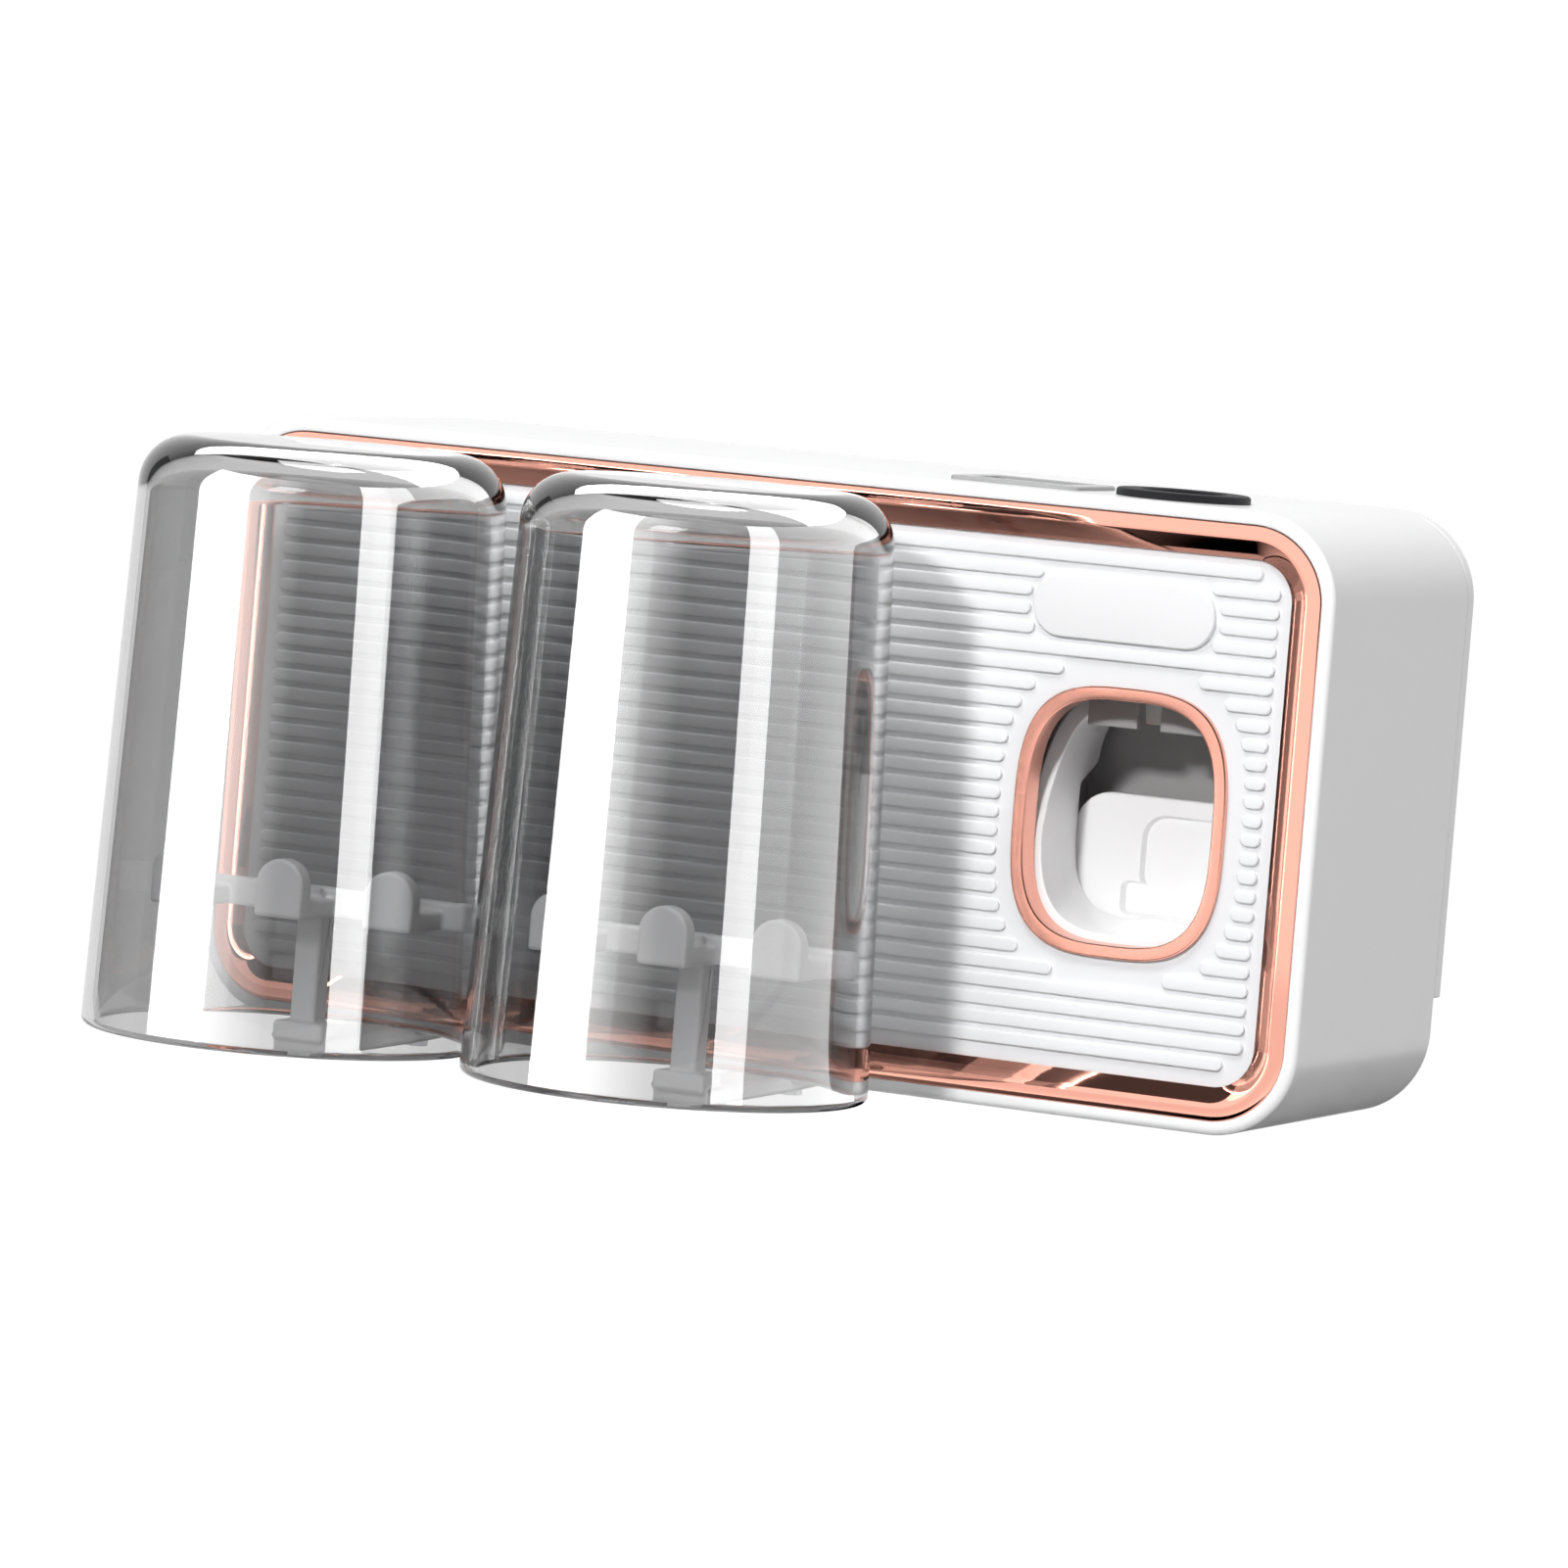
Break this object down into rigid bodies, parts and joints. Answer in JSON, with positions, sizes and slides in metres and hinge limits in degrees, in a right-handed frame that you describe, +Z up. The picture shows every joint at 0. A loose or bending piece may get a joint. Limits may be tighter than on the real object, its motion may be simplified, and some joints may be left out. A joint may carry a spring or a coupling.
{
  "type": "toothbrush holder",
  "caption": "Wall-hung toothbrush holder with a framed ribbed front, two inverted clear cups over brush racks, and a push-lever toothpaste pump behind a window.",
  "frame": {"origin": "centre of the adhesive pad's face, on the wall's plane, half-way up the body", "axes": "+X right as seen from the room, along the body's width; +Y into the wall; +Z up"},
  "size_m": [0.22, 0.1499, 0.115],
  "materials": {
    "white_gloss": "smooth white plastic with a soft gloss",
    "panel_white": "satin white plastic, ribbed",
    "plaque_grey": "bare satin plate",
    "rose_gold": "polished pinkish gold plating",
    "clear_cup": "clear smoke-tinted plastic",
    "inner_grey": "dark grey plastic",
    "pale_grey": "pale grey plastic",
    "black_rubber": "black silicone",
    "clear_silicone": "milky silicone",
    "steel": "bright steel",
    "pad_grey": "foam adhesive"
  },
  "bodies": {
    "bracket": {"wall_bracket": "pale_grey", "adhesive_pad": "pad_grey"},
    "holder": {"back_cover": "white_gloss", "back_screws": "steel", "housing": "white_gloss", "trim_frame": "rose_gold", "ribbed_panel": "panel_white", "name_plaque": "plaque_grey", "window_ring": "rose_gold", "window_chute": "white_gloss", "port_collar": "black_rubber", "tube_socket": "pale_grey", "pump_body": "inner_grey", "pump_cap": "pale_grey", "outlet_nozzle": "clear_silicone", "cassette_screws": "steel", "lever_pin": "steel", "return_spring": "steel", "storage_bin": "inner_grey", "rack_left": "white_gloss", "rack_right": "white_gloss", "rack_screws": "steel"},
    "cup_left": {"cup_left": "clear_cup"},
    "cup_right": {"cup_right": "clear_cup"},
    "lever": {"push_lever": "white_gloss"},
    "plunger": {"plunger": "pale_grey", "plunger_seal": "black_rubber"}
  },
  "joints": [
    {"name": "holder_lift", "type": "slide", "parent": "bracket", "child": "holder", "axis": [0, 0, 1], "range_m": [0, 0.0053]},
    {"name": "cup_left_lift", "type": "slide", "parent": "holder", "child": "cup_left", "axis": [0, 0, 1], "range_m": [0, 0.12]},
    {"name": "cup_right_lift", "type": "slide", "parent": "holder", "child": "cup_right", "axis": [0, 0, 1], "range_m": [0, 0.12]},
    {"name": "lever_push", "type": "hinge", "parent": "holder", "child": "lever", "pos_m": [0.0722, -0.04141, -0.02491], "axis": [-1, 0, 0], "range_deg": [0, 14], "stiffness_Nm_per_rad": 0.03, "springref_deg": -22.92},
    {"name": "plunger_slide", "type": "slide", "parent": "holder", "child": "plunger", "axis": [0, 1, 0], "range_m": [0, 0.0043], "deforming": ["return_spring"]}
  ],
  "couplings": [
    {"joint": "plunger_slide", "follows": "lever_push", "m_per_rad": 0.0172}
  ]
}
